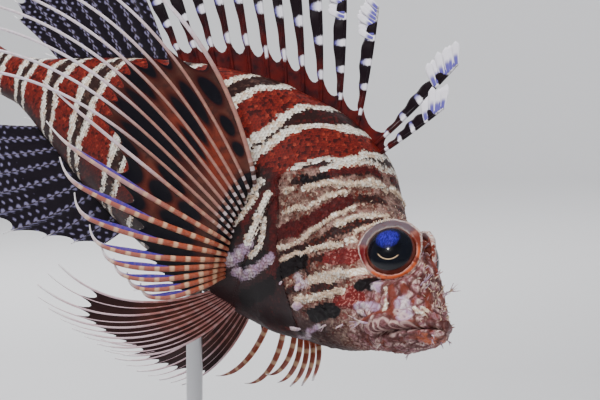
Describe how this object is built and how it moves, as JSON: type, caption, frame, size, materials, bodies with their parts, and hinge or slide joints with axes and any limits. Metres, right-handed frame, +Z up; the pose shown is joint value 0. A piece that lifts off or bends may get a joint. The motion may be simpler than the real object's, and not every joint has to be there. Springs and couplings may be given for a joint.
{
  "type": "lionfish on display stand",
  "caption": "Life-size still model of a red and white banded lionfish with spread wing fins, held swimming above a round base on one rod.",
  "frame": {"origin": "centre of the flat underside of the stand's round base, with the rod above it", "axes": "+X is the way the middle of the fish heads, -Y is the side of its right flank, +Z is up"},
  "size_m": [0.1765, 0.124, 0.1902],
  "materials": {
    "head_skin": "mottled brick red, cream and mauve skin with a damp sheen",
    "jaw_skin": "pale mauve skin with brown veins",
    "body_skin": "brick red scales with white double bars, damp sheen",
    "eye": "wet gloss",
    "spines": "dark red brown with lilac white bands",
    "soft_fins": "thin dark membrane with rows of lilac white spots",
    "wing_fins": "thin amber to dark brown membrane between banded rays",
    "stand_base": "satin black acrylic",
    "stand_rod": "brushed"
  },
  "bodies": {
    "root": {"head": "head_skin", "lower_jaw": "jaw_skin", "eye_right": "eye", "eye_left": "eye", "trunk_front": "body_skin", "trunk_rear": "body_skin", "tail_stalk": "body_skin", "dorsal_fin_spines": "spines", "dorsal_fin_soft": "soft_fins", "anal_fin": "soft_fins", "caudal_fin": "soft_fins", "pectoral_fin_right": "wing_fins", "pectoral_fin_left": "wing_fins", "pelvic_fin_right": "wing_fins", "pelvic_fin_left": "wing_fins", "stand_base": "stand_base", "stand_rod": "stand_rod"}
  },
  "joints": []
}
